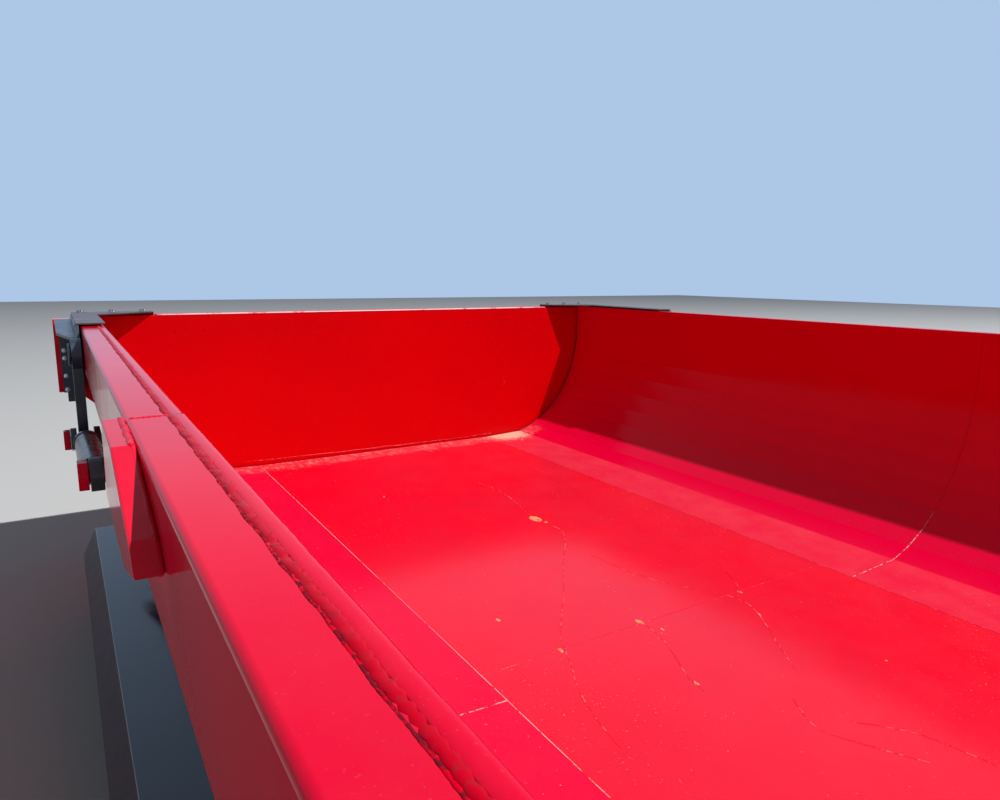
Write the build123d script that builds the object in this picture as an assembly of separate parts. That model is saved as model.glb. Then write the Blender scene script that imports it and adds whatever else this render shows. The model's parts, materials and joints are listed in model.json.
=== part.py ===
from build123d import *
from math import atan2, cos, degrees, hypot, radians, sin
import os

# Load body of a farm tipping trailer: a half-pipe shell on an underframe, with top rails,
# mudguards and a tailgate that two rams lift on side arms.
# Millimetres and degrees. +X points to the headboard, +Y to the left side, +Z up.
# The origin is at the bottom centre of the whole body.
# Places are given ahead of the tailgate's inner face and above the floor's upper face.
# A reach is a distance across, beyond the floor's edge.

# Shell
floor_width = 1130
side_height = 655
inner_length = 5000
sheet = 6
floor_joint = 1904
side_joint = 2004
# Flats of a side sheet from the floor seam upwards: length, slope
side_flats = [
    (203, 2.5),
    (80, 20),
    (80, 30),
    (80, 40),
    (80, 49),
    (80, 58),
    (80, 67),
    (80, 75),
    (80, 81),
]

# Clearances, and how far a cutting shape passes the face that it cuts
seat = 0.2
cut_over = 1
cut_deep = 200
arm_gap = 5
pin_play = 0.05
tube_corner_extra = 0.5
eye_play = 2.5

# Top rails
rail_width = 55
rail_height = 136
rail_wall = 4
rail_corner = 6
rail_joint = 2204
rail_step = 3

# Rail lugs
lug_backing = 6
lug_thickness = 16
lug_backing_lift = 8
# Outline of a lug: ahead of the tailgate, below the rail's top
lug_outline = [
    (2155, 96),
    (2180, 0),
    (2328, 0),
    (2482, 41),
    (2515, 60),
    (2402, 93),
]

# Headboard
headboard_sheet = 5
headboard_lip = 12
headboard_tube = 60
headboard_upright_places = [-900, -540, -180, 180, 540, 900]

# Rear frame and seal
rear_gap = 10
rear_frame_reach = 50
rear_frame_depth = 60
rear_frame_flange = 10
rear_frame_lip = 6
seal_width = 14
seal_inset = 3

# Underframe
runner_width = 80
runner_height = 160
runner_wall = 6
runner_corner = 9
runner_spacing = 880
runner_rear_end = 60
runner_front_end = 90
bearer_height = 100
bearer_width = 60
bearer_wall = 5
bearer_count = 11
bearer_first = 190
bearer_reach = 285
bearer_tip_height = 45
ear_thickness = 30
ear_radius = 60
ear_foot = 40
ear_foot_length = 180
hinge_bore_radius = 25.05
hinge_ahead = 330
hinge_height = 72
cradle_ahead = 3150
cradle_length = 300
cradle_plate = 14
cradle_rise = 10
cradle_seat_rise = 20
cradle_gap = 460
cradle_bolts_along = 200
cradle_bolts_across = 600
cradle_bolt_radius = 9

# Mudguards
guard_rear = 672
guard_length = 2040
guard_slope_length = 110
guard_slope_drop = 110
guard_top = 48
guard_inner_reach = 327
guard_outer_reach = 640
guard_skirt_width = 37
guard_skirt_drop = 79
guard_thickness = 4
stay_thickness = 10
stay_width = 60
stay_root_reach = 135
stay_root_lift = 20
stay_root_depth = 12
stay_bend = 30
stay_bend_depth = 4
stay_end_inset = 20
stay_bearers = [2, 4, 5]

# Tailgate
gate_sheet = 5
gate_fold = 30
gate_fold_radius = 9
gate_tube = 60
gate_tube_wall = 4
gate_band_extra = 2
gate_rib_width = 80
gate_rib_places = [-900, -540, -180, 180, 540, 900]
post_width = 68
post_height = 282
post_wall = 5
post_gap = 6
gate_corner_low = 40
gate_corner_high = 10

# Tailgate arms, seen from the side
pivot_ahead = 680
pivot_below_rail = 75
pivot_radius = 20
pivot_collar_radius = 32
pivot_collar = 4
pivot_head_gap = 1
pivot_head = 7
pivot_boss_radius = 47
lever_length = 250
lever_width = 50
lever_thickness = 26
lever_end_radius = 30
web_thickness = 12
web_end = 620
web_low_rear = 283
web_low_front = 130
arm_flange = 12
arm_flange_width = 53
arm_foot_width = 42
arm_foot_drop = 35
arm_flange_top = 12
brace_drop_rear = 12
brace_drop_front = 30
brace_thickness = 8
brace_inset = 6
brace_corner_inset = 4
brace_corner = 480

# Top plates over the rails
cap_thickness = 5
cap_pad = 5
cap_strip_length = 275
cap_reach = 620
cap_inner_lap = 10
cap_outer_lap = 13
cap_rear = 58
cap_strip_front = 2
cap_corner = 136
cap_bolt_inset = 31
cap_bolt_pitch = 105
cap_bolt_count = 3
cap_bolt_behind = 28
cap_bolt_across = 22
cap_bolt_height = 8

# Rams
base_ahead = 1500
base_height = 424
eye_thickness = 24
eye_radius = 34
barrel_radius = 30
gland_radius = 33
gland_length = 40
rod_radius = 15
fork_radius = 33
fork_thickness = 16
fork_depth = 96
fork_base = 14
fork_base_width = 36
fork_room = 4
rod_room = 2
rod_end_room = 70
barrel_start = 50
barrel_base = 10
base_pin_radius = 15
base_boss_radius = 30
base_boss_gap = 3
nut_across_flats = 55
lever_nut_height = 17
base_nut_height = 18
bracket_thickness = 14
bracket_length = 120
bracket_root = 40
bracket_drop = 20
bracket_nose_inset = 10
bracket_nose_rise = 30
bracket_top_inset = 8
bracket_side_inset = 26
bracket_side_half = 30
bracket_side_drop = 10
gate_opening = 60

# Worked-out levels and places
floor_level = runner_height + seat + bearer_height + seat + sheet
rear_reach = gate_sheet + seat + gate_tube
front_reach = seat + headboard_sheet + seat + headboard_tube
gate_face = (rear_reach - front_reach - inner_length) / 2
half_floor = floor_width / 2
bearer_end = half_floor + bearer_reach
guard_inner = half_floor + guard_inner_reach
guard_outer = half_floor + guard_outer_reach
stay_root = half_floor + stay_root_reach


def ahead(distance):
    return gate_face + distance


def above(height):
    return floor_level + height


def side_line(top, distance=0):
    """Points (y, z) of the left side's inner face, set out by a distance, up to a height."""
    line = [(half_floor, 0)]
    for length, slope in side_flats:
        y, z = line[-1]
        line.append((y + length * cos(radians(slope)), z + length * sin(radians(slope))))
    slopes = [0] + [slope for _, slope in side_flats] + [90]
    moved = []
    for (y, z), before, after in zip(line, slopes, slopes[1:]):
        middle = radians((before + after) / 2)
        stretch = distance / cos(radians((after - before) / 2))
        moved.append((y + stretch * sin(middle), z - stretch * cos(middle)))
    moved.append((moved[-1][0], top))
    return moved


half_inside = side_line(side_height)[-1][0]
rail_inner = half_inside + sheet + seat
rail_outer = rail_inner + rail_width
rail_bottom = side_height - rail_height


def whole_line(top, distance=0):
    """The same line from the right side's top round the floor to the left side's top."""
    left = side_line(top, distance)
    right = [(-y, z) for y, z in reversed(left)]
    return right + left


def across(points, start, end):
    """A plate with an outline (y, z above the floor), between two places ahead of the tailgate."""
    face = make_face(Polyline(*[(y, above(z)) for y, z in points], close=True))
    return extrude(Plane.YZ.offset(ahead(start)) * face, amount=end - start, dir=(1, 0, 0))


def along(face, inner, outer):
    """A plate on the left side from a face drawn ahead of the tailgate and above the floor."""
    placed = Plane.XZ.offset(-inner) * (Pos(gate_face, floor_level) * face)
    return extrude(placed, amount=outer - inner, dir=(0, 1, 0))


def outline(points):
    return make_face(Polyline(*points, close=True))


def block(start, end, inner, outer, low, high):
    """A box from places ahead of the tailgate, across and above the floor."""
    size = Box(end - start, outer - inner, high - low)
    return Pos(ahead((start + end) / 2), (inner + outer) / 2, above((low + high) / 2)) * size


def pin_across(place, height, radius, inner, outer):
    """A round bar across the body."""
    bar = Rot(90, 0, 0) * Cylinder(radius, outer - inner)
    return Pos(ahead(place), (inner + outer) / 2, above(height)) * bar


def hexagon_across(place, height, across_flats, inner, outer):
    face = RegularPolygon(across_flats / 2, 6, major_radius=False)
    return along(Pos(place, height) * face, inner, outer)


def tube_across(width, height, wall, corner):
    """Section of a box tube, centred."""
    inside = RectangleRounded(width - 2 * wall, height - 2 * wall, corner - wall + tube_corner_extra)
    return RectangleRounded(width, height, corner) - inside


def save(name, shape):
    shape.label = name
    export_step(shape, f"parts/{name}.step")


def save_both(name, left):
    save(name + "_left", left)
    save(name + "_right", mirror(left, about=Plane.XZ))


def group(solids):
    return Compound(children=list(solids))


# Shell

def floor_plate(start, end):
    return block(start, end, -half_floor, half_floor, -sheet, 0)


def side_sheet(start, end):
    inner = side_line(side_height)
    outer = side_line(side_height, sheet)
    return across(inner + outer[::-1], start, end)


# Top rails: box tubes, closed at the ends of the body

def rail(start, end, top, closed_start):
    section = tube_across(rail_width, top - rail_bottom, rail_wall, rail_corner)
    centre_y = (rail_inner + rail_outer) / 2
    centre_z = above((rail_bottom + top) / 2)
    tube = extrude(Plane.YZ * section, amount=end - start, dir=(1, 0, 0))
    tube = Pos(ahead(start), centre_y, centre_z) * tube
    if closed_start:
        cap = block(start, start + rail_wall, rail_inner + rail_wall, rail_outer - rail_wall,
                    rail_bottom + rail_wall, top - rail_wall)
    else:
        cap = block(end - rail_wall, end, rail_inner + rail_wall, rail_outer - rail_wall,
                    rail_bottom + rail_wall, top - rail_wall)
    return tube + cap


def rail_lug():
    points = [(place, side_height - drop) for place, drop in lug_outline]
    plate = along(outline(points), rail_outer + lug_backing, rail_outer + lug_backing + lug_thickness)
    backing_low = rail_bottom + lug_backing_lift
    backing_points = [(place, max(z, backing_low)) for place, z in points]
    backing = along(outline(backing_points), rail_outer + seat, rail_outer + lug_backing)
    return plate + backing


# Headboard

def headboard_plate():
    start = inner_length + seat
    body = across(whole_line(side_height, sheet + headboard_lip), start, start + headboard_sheet)
    limit = block(start, start + headboard_sheet, -rail_outer, rail_outer, -cut_deep, side_height)
    return body & limit


def headboard_frame():
    start = inner_length + seat + headboard_sheet + seat
    end = start + headboard_tube
    top = block(start, end, -rail_outer, rail_outer, side_height - headboard_tube, side_height)
    hollow = block(start + rail_wall, end - rail_wall, rail_wall - rail_outer, rail_outer - rail_wall,
                   side_height - headboard_tube + rail_wall, side_height - rail_wall)
    frame = top - hollow
    for place in headboard_upright_places:
        half = headboard_tube / 2
        low = -sheet - headboard_lip
        upright = block(start, end, place - half, place + half, low, side_height - headboard_tube)
        room = block(start - cut_over, end - rail_wall, place - half + rail_wall, place + half - rail_wall,
                     low + rail_wall, side_height - headboard_tube)
        frame = frame + (upright - room)
    return frame


# Rear frame and seal

def rear_frame():
    inside = whole_line(rail_bottom - seat, sheet + seat)
    outside = whole_line(rail_bottom - seat, rear_frame_reach)
    inside_lip = whole_line(rail_bottom - seat, rear_frame_reach - rear_frame_lip)
    flange = across(inside + outside[::-1], rear_gap, rear_gap + rear_frame_flange)
    lip = across(inside_lip + outside[::-1], rear_gap, rear_gap + rear_frame_depth)
    limit = block(0, rear_gap + rear_frame_depth, -rail_outer, rail_outer, -cut_deep, side_height)
    return (flange + lip) & limit


def gate_seal():
    low = seal_inset
    top = side_height - pivot_below_rail
    inside = whole_line(top, low)
    outside = whole_line(top, low + seal_width)
    return across(inside + outside[::-1], seat, rear_gap - seat)


# Underframe

def runner():
    start = runner_rear_end
    end = inner_length - runner_front_end
    section = tube_across(runner_width, runner_height, runner_wall, runner_corner)
    tube = extrude(Plane.YZ * section, amount=end - start, dir=(1, 0, 0))
    tube = Pos(ahead(start), runner_spacing / 2, runner_height / 2) * tube
    half = runner_width / 2
    low = -floor_level
    ends = [
        block(place, place + runner_wall, runner_spacing / 2 - half, runner_spacing / 2 + half,
              low, low + runner_height)
        for place in (start - seat - runner_wall, end + seat)
    ]
    return group([tube] + ends)


def bearer_outline(inset):
    """Outline of a cross bearer whose ends rise under the curved sides."""
    top = [(y, z) for y, z in side_line(side_height, sheet + seat + inset) if y < bearer_end]
    low = -sheet - seat - bearer_height + inset
    tip_y, tip_z = top[-1]
    half = [(runner_spacing / 2 + runner_width, low), (tip_y, tip_z - bearer_tip_height + inset)] + top[::-1]
    other = [(-y, z) for y, z in half[::-1]]
    return half + other


def cross_bearers():
    pitch = (inner_length - 2 * bearer_first) / (bearer_count - 1)
    bearers = []
    for index in range(bearer_count):
        middle = bearer_first + index * pitch
        start = middle - bearer_width / 2
        whole = across(bearer_outline(0), start, start + bearer_width)
        room = across(bearer_outline(bearer_wall), start + bearer_wall, start + bearer_width + cut_over)
        bearers.append(whole - room)
    return group(bearers)


def hinge_ears():
    """Two ears on the runners' outer sides at the rear, bored for the tipping hinge."""
    inner = (runner_spacing + runner_width) / 2 + seat
    low = -floor_level
    round_end = Pos(hinge_ahead, low + hinge_height) * Circle(ear_radius)
    foot = Pos(hinge_ahead, low + runner_height - ear_foot / 2) * Rectangle(ear_foot_length, ear_foot)
    bore = Pos(hinge_ahead, low + hinge_height) * Circle(hinge_bore_radius)
    ear = along(make_hull(round_end.edges() + foot.edges()) - bore, inner, inner + ear_thickness)
    return group([ear, mirror(ear, about=Plane.XZ)])


def ram_cradle():
    """Cross plates between the runners and two drilled seats for the tipping ram's bearings."""
    outer = (runner_spacing - runner_width) / 2 - seat
    low = -floor_level
    start = cradle_ahead - cradle_length / 2
    end = cradle_ahead + cradle_length / 2
    top = low + runner_height - seat
    base = low + cradle_rise
    cradle = block(start, start + cradle_plate, -outer, outer, base, top)
    cradle += block(end - cradle_plate, end, -outer, outer, base, top)
    under = base + cradle_seat_rise
    bearing_seat = block(start + cradle_plate, end - cradle_plate, cradle_gap / 2, outer,
                         under, under + cradle_plate)
    for place in (cradle_ahead - cradle_bolts_along / 2, cradle_ahead + cradle_bolts_along / 2):
        hole = Cylinder(cradle_bolt_radius, cut_deep)
        bearing_seat -= Pos(ahead(place), cradle_bolts_across / 2, above(under)) * hole
    return cradle + bearing_seat + mirror(bearing_seat, about=Plane.XZ)


# Mudguards

def mudguard():
    """Flat top and outward skirt, with both ends sloping down."""
    top = [(guard_inner, guard_top), (guard_outer, guard_top),
           (guard_outer + guard_skirt_width, guard_top - guard_skirt_drop)]
    t = guard_thickness
    skirt = atan2(guard_skirt_drop, guard_skirt_width)
    corner = t * (1 - cos(skirt)) / sin(skirt)
    under = [(guard_inner, guard_top - t), (guard_outer - corner, guard_top - t),
             (guard_outer + guard_skirt_width - t / sin(skirt), guard_top - guard_skirt_drop)]
    section = outline([(y, z) for y, z in top] + under[::-1])
    end = guard_rear + guard_length
    stations = [guard_rear - guard_slope_length, guard_rear, end, end + guard_slope_length]
    drops = [guard_slope_drop, 0, 0, guard_slope_drop]
    spans = []
    for first in range(3):
        faces = []
        for place, drop in zip(stations[first:first + 2], drops[first:first + 2]):
            spot = Plane(origin=(ahead(place), 0, above(-drop)), x_dir=(0, 1, 0), z_dir=(1, 0, 0))
            faces.append(spot * section)
        spans.append(loft(faces, ruled=True))
    return spans[0] + spans[1] + spans[2]


def mudguard_stays():
    """Bent bars from the bearers' ends out under the mudguards."""
    t = stay_thickness
    under = guard_top - guard_thickness - seat
    root = -sheet - bearer_height + stay_root_lift
    points = [
        (stay_root, root),
        (guard_inner + stay_bend, under),
        (guard_outer - stay_end_inset, under),
        (guard_outer - stay_end_inset, under - t),
        (guard_inner + stay_bend + stay_bend_depth, under - t),
        (stay_root, root - stay_root_depth),
    ]
    pitch = (inner_length - 2 * bearer_first) / (bearer_count - 1)
    stays = []
    for index in stay_bearers:
        middle = bearer_first + index * pitch
        stay = across(points, middle + bearer_width / 2 + seat, middle + bearer_width / 2 + seat + stay_width)
        stays += [stay, mirror(stay, about=Plane.XZ)]
    return group(stays)


# Tailgate

gate_top = side_height
frame_top = gate_top - gate_sheet - seat
post_inner = rail_outer + post_gap
post_outer = post_inner + post_width
post_low = side_height - post_height


def gate_edge(distance, top):
    """Outline of the tailgate: the body's section set out by a distance, wide at the top."""
    line = [(y, z) for y, z in side_line(top, rear_frame_reach + distance) if z < post_low - gate_corner_low]
    side_y = post_inner - seat + distance
    left = line + [(side_y, post_low - gate_corner_high), (side_y, top)]
    return [(-y, z) for y, z in left[::-1]] + left


def gate_plate():
    """Flat sheet whose top edge is folded back over the frame."""
    fold = gate_top - gate_fold
    lip = outline([
        (0, fold),
        (0, gate_top),
        (-rear_reach, gate_top),
        (-rear_reach, gate_top - gate_sheet),
        (-gate_sheet, gate_top - gate_sheet),
        (-gate_sheet, fold),
    ])
    lip = fillet(lip.vertices().sort_by_distance((0, gate_top))[0], gate_fold_radius)
    edge = post_inner - seat
    return across(gate_edge(0, fold), -gate_sheet, 0) + along(lip, -edge, edge)


def gate_frame():
    """Perimeter band, top tube and upright ribs on the tailgate's outside."""
    front = -gate_sheet - seat
    back = front - gate_tube
    band = across(gate_edge(0, frame_top), back, front)
    band_room = gate_edge(-gate_tube_wall - gate_band_extra, frame_top + cut_over)
    band -= across(band_room, back - cut_over, front + cut_over)
    top_half = post_inner - seat
    top = block(back, front, -top_half, top_half, frame_top - gate_tube, frame_top)
    wall = gate_tube_wall
    top -= block(back + wall, front - wall, wall - top_half, top_half - wall,
                 frame_top - gate_tube + wall, frame_top - wall)
    frame = band + top
    inside = across(gate_edge(-gate_tube_wall, frame_top), back - cut_over, front + cut_over)
    for place in gate_rib_places:
        half = gate_rib_width / 2
        rib = block(back, front, place - half, place + half, -cut_deep, frame_top - gate_tube)
        room = block(back + gate_tube_wall, front + cut_over, place - half + gate_tube_wall,
                     place + half - gate_tube_wall, -cut_deep - cut_over, frame_top - gate_tube)
        frame += (rib - room) & inside
    return frame


def gate_post():
    """Box post on the tailgate's side, open at its foot."""
    back = -rear_reach
    whole = block(back, 0, post_inner, post_outer, post_low, gate_top - arm_flange_top)
    room = block(back + post_wall, -post_wall, post_inner + post_wall, post_outer - post_wall,
                 post_low - cut_over, gate_top - arm_flange_top - post_wall)
    return whole - room


# Tailgate arms, levers and what is on them

arm_inner = rail_outer + arm_gap
arm_outer = arm_inner + lever_thickness
ram_centre = arm_outer - arm_gap - eye_thickness / 2
fork_reach = arm_outer + arm_gap - ram_centre
fork_outer = ram_centre + fork_reach + fork_thickness
brace_outer = post_outer - brace_inset
cap_low = gate_top + seat + cap_pad
pivot_height = side_height - pivot_below_rail
lever_pin_height = pivot_height - lever_length


def gate_arm():
    flange = block(seat, arm_flange, arm_inner, arm_inner + arm_flange_width,
                   post_low, side_height - arm_flange_top)
    flange += block(seat, arm_flange, arm_inner, arm_inner + arm_foot_width,
                    post_low - arm_foot_drop, post_low)
    web_face = outline([
        (arm_flange, side_height - web_low_rear),
        (pivot_ahead - lever_width, side_height - web_low_front),
        (pivot_ahead, side_height - web_low_front),
        (pivot_ahead, pivot_height),
        (web_end, cap_low - seat),
        (arm_flange, cap_low - seat),
    ])
    web = along(web_face, arm_inner, arm_inner + web_thickness)
    boss = Pos(pivot_ahead, pivot_height) * Circle(pivot_boss_radius)
    middle = (pivot_height + lever_pin_height) / 2
    lever = boss + Pos(pivot_ahead, middle) * Rectangle(lever_width, pivot_height - lever_pin_height)
    lever += Pos(pivot_ahead, lever_pin_height) * Circle(lever_end_radius)
    bar = along(lever, arm_inner, arm_outer)
    brace_points = [
        (arm_flange, arm_inner + web_thickness),
        (pivot_ahead - pivot_boss_radius, arm_inner + web_thickness),
        (pivot_ahead - pivot_boss_radius, arm_outer),
        (brace_corner, brace_outer - brace_corner_inset),
        (arm_flange, brace_outer),
    ]
    run = pivot_ahead - pivot_boss_radius - arm_flange
    tilt = degrees(atan2(brace_drop_front - brace_drop_rear, run))
    brace = extrude(outline([(x - arm_flange, y) for x, y in brace_points]), amount=-brace_thickness)
    brace = Pos(ahead(arm_flange), 0, above(side_height - brace_drop_rear)) * Rot(0, tilt, 0) * brace
    arm = flange + web + bar + brace
    bore_radius = pivot_radius + pin_play
    bore = pin_across(pivot_ahead, pivot_height, bore_radius, arm_inner - cut_over, arm_outer + cut_over)
    return arm - bore


def lever_nut():
    return hexagon_across(pivot_ahead, lever_pin_height, nut_across_flats,
                          fork_outer + seat, fork_outer + seat + lever_nut_height)


def cap_plate():
    """Plate bolted on a pad on the tailgate's top edge, which runs forward over the rail."""
    outer = rail_outer + cap_outer_lap
    inner = outer - cap_strip_length
    over_rail = rail_inner - cap_inner_lap
    plate = outline([
        (-cap_rear, inner),
        (cap_strip_front, inner),
        (cap_corner, over_rail),
        (cap_reach, over_rail),
        (cap_reach, outer),
        (-cap_rear, outer),
    ])
    plate = Pos(gate_face, 0, above(cap_low)) * extrude(plate, amount=cap_thickness)
    plate += block(-cap_rear, 0, inner, post_inner - seat, gate_top + seat, cap_low)
    head = extrude(RegularPolygon(cap_bolt_across / 2, 6, major_radius=False), amount=cap_bolt_height)
    for index in range(cap_bolt_count):
        across_body = outer - cap_bolt_inset - index * cap_bolt_pitch
        plate += Pos(ahead(-cap_bolt_behind), across_body, above(cap_low + cap_thickness)) * head
    return plate


def arm_pivot():
    """Fixed pin on the rail's outer face that carries the arm."""
    head = arm_outer + pivot_head_gap
    pin = pin_across(pivot_ahead, pivot_height, pivot_radius, rail_outer + seat, head)
    collar = rail_outer + pivot_collar
    pin += pin_across(pivot_ahead, pivot_height, pivot_collar_radius, rail_outer + seat, collar)
    return pin + pin_across(pivot_ahead, pivot_height, pivot_collar_radius, head, head + pivot_head)


# Rams: straight from the base pin to the lever pin when the tailgate is shut

run_back = base_ahead - pivot_ahead
rise_back = lever_pin_height - base_height
ram_length = hypot(run_back, rise_back)
ram_pitch = degrees(atan2(rise_back, run_back))
rod_bare = fork_depth + fork_base + fork_room


def ram_place():
    """Frame of the ram: local +Z runs from the base pin to the lever pin."""
    direction = (-run_back / ram_length, 0, rise_back / ram_length)
    return Plane(origin=(ahead(base_ahead), ram_centre, above(base_height)), x_dir=(0, 1, 0), z_dir=direction)


def ram_eye(place, height, tube_end):
    """Flat eye round a pin, drawn in to the tube that it is welded to."""
    low, high = sorted([0, tube_end])
    tongue = Pos((low + high) / 2, 0) * Rectangle(high - low, eye_radius)
    face = make_hull((Circle(eye_radius) + tongue).edges())
    turned = Pos(place, height) * Rot(0, 0, -ram_pitch) * face
    return along(turned, ram_centre - eye_thickness / 2, ram_centre + eye_thickness / 2)


def ram_barrel():
    """Closed tube with a wider gland, turned about the ram's line, on its eye."""
    end = ram_length - rod_bare
    gland_start = end - gland_length
    bore = rod_radius + pin_play
    room = rod_radius + rod_room
    profile = Plane.XZ * outline([
        (0, barrel_start),
        (barrel_radius, barrel_start),
        (barrel_radius, gland_start),
        (gland_radius, gland_start),
        (gland_radius, end),
        (bore, end),
        (bore, gland_start),
        (room, gland_start),
        (room, barrel_start + barrel_base),
        (0, barrel_start + barrel_base),
    ])
    barrel = ram_eye(base_ahead, base_height, -barrel_start - barrel_base / 2)
    barrel += ram_place() * revolve(profile, Axis.Z)
    return barrel - pin_across(base_ahead, base_height, base_pin_radius + pin_play, 0, 2 * ram_centre)


def rod_fork():
    """Two cheeks beside the lever's end, on a block that the rod is screwed into."""
    block_face = Pos(fork_depth + fork_base / 2, 0) * Rectangle(fork_base, fork_base_width)
    cheek_face = make_hull((Circle(fork_radius) + block_face).edges())
    slot_height = 2 * (fork_radius + cut_over)
    slot_length = fork_depth + fork_radius + cut_over
    slot_face = Pos(fork_depth - slot_length / 2, 0) * Rectangle(slot_length, slot_height)
    turned = Pos(pivot_ahead, lever_pin_height) * Rot(0, 0, -ram_pitch)
    whole = along(turned * cheek_face, ram_centre - fork_reach - fork_thickness, fork_outer)
    return whole - along(turned * slot_face, ram_centre - fork_reach, ram_centre + fork_reach)


def ram_rod():
    start = barrel_start + barrel_base + rod_end_room
    end = ram_length - fork_depth - fork_base / 2
    rod = Pos(0, 0, (start + end) / 2) * Cylinder(rod_radius, end - start)
    return rod_fork() + ram_place() * rod


def ram_bracket():
    """Boss and gusset plate that carry the ram's base pin on the side."""
    face = ram_centre - eye_thickness / 2 - base_boss_gap
    inner = half_inside + sheet - bracket_root
    boss = pin_across(base_ahead, base_height, base_boss_radius, inner, face)
    gusset_top = rail_bottom - seat
    points = [
        (inner, base_height - bracket_drop),
        (face - bracket_nose_inset, base_height - bracket_drop),
        (face - bracket_nose_inset, base_height + bracket_nose_rise),
        (rail_outer - bracket_top_inset, gusset_top),
        (inner, gusset_top),
    ]
    half = bracket_thickness / 2
    bracket = boss + across(points, base_ahead - half, base_ahead + half)
    side_points = [
        (base_ahead - bracket_length, gusset_top),
        (base_ahead - bracket_side_half, base_height - bracket_side_drop),
        (base_ahead + bracket_side_half, base_height - bracket_side_drop),
        (base_ahead + bracket_length / 2, gusset_top),
    ]
    side_outer = face - bracket_side_inset
    bracket += along(outline(side_points), side_outer - bracket_thickness, side_outer)
    shell_cut = side_line(rail_bottom, sheet + seat) + [(0, rail_bottom), (0, 0)]
    return bracket - across(shell_cut, base_ahead - 2 * bracket_length, base_ahead + 2 * bracket_length)


def base_pin():
    """Ram base pin with its hexagon nut."""
    inner = ram_centre - eye_thickness / 2 - base_boss_gap + seat
    eye_face = ram_centre + eye_thickness / 2
    pin = pin_across(base_ahead, base_height, base_pin_radius, inner, eye_face + eye_play)
    nut = hexagon_across(base_ahead, base_height, nut_across_flats, eye_face + eye_play,
                         eye_face + eye_play + base_nut_height)
    return pin + nut


os.makedirs("parts", exist_ok=True)

save("floor_plate_rear", floor_plate(rear_gap, floor_joint - seat / 2))
save("floor_plate_front", floor_plate(floor_joint + seat / 2, inner_length))
save_both("side_sheet_rear", side_sheet(rear_gap, side_joint - seat / 2))
save_both("side_sheet_front", side_sheet(side_joint + seat / 2, inner_length))
save("headboard_sheet", headboard_plate())
save("headboard_frame", headboard_frame())
save_both("rail_rear", rail(rear_gap, rail_joint - seat / 2, side_height, True))
save_both("rail_front", rail(rail_joint + seat / 2, inner_length, side_height + rail_step, False))
save_both("rail_lug", rail_lug())
save("rear_frame", rear_frame())
save("gate_seal", gate_seal())
save_both("runner", runner())
save("cross_bearers", cross_bearers())
save("hinge_ears", hinge_ears())
save("ram_cradle", ram_cradle())
save_both("mudguard", mudguard())
save("mudguard_stays", mudguard_stays())
save_both("arm_pivot", arm_pivot())
save_both("ram_bracket", ram_bracket())
save_both("ram_base_pin", base_pin())

save("gate_sheet", gate_plate())
save("gate_frame", gate_frame())
save_both("gate_post", gate_post())
save_both("gate_arm", gate_arm())
save_both("lever_nut", lever_nut())
save_both("cap_plate", cap_plate())

save_both("ram_barrel", ram_barrel())
save_both("ram_rod", ram_rod())

print("tailgate face", gate_face, "floor level", floor_level, "rail outer", rail_outer)
opened_pin = (pivot_ahead - lever_length * sin(radians(gate_opening)),
              pivot_height - lever_length * cos(radians(gate_opening)))
opened_run = base_ahead - opened_pin[0]
opened_rise = opened_pin[1] - base_height
print("ram", ram_length, "open", hypot(opened_run, opened_rise))
print("pitch shut", ram_pitch, "open", degrees(atan2(opened_rise, opened_run)))
print("pivot", ahead(pivot_ahead), above(pivot_height), "base", ahead(base_ahead), above(base_height))
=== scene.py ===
# Load body of a farm tipping trailer: paint, welds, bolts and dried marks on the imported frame.
# Metres. X points to the headboard, Y to the left side, Z up.
import bpy
import json
import math
from mathutils import Matrix, Vector

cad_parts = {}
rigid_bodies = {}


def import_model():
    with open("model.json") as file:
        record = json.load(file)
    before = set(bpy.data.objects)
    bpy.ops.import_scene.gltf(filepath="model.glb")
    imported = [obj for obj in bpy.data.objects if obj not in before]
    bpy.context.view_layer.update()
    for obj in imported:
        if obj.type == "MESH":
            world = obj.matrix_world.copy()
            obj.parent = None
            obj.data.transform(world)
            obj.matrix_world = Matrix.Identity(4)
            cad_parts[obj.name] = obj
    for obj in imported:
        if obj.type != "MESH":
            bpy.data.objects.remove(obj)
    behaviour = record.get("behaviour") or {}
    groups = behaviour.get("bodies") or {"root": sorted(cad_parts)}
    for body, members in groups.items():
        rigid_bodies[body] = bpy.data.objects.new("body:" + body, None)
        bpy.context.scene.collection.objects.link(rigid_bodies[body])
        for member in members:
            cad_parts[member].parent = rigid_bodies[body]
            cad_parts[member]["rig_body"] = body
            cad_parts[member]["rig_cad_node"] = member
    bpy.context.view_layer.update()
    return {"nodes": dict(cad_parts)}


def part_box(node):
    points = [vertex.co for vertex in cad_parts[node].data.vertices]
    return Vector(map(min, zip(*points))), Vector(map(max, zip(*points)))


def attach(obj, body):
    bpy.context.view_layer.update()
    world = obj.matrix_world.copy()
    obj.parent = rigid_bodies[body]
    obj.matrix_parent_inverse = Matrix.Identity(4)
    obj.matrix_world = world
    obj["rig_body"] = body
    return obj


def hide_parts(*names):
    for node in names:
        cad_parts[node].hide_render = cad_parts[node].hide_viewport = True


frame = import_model()

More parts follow.
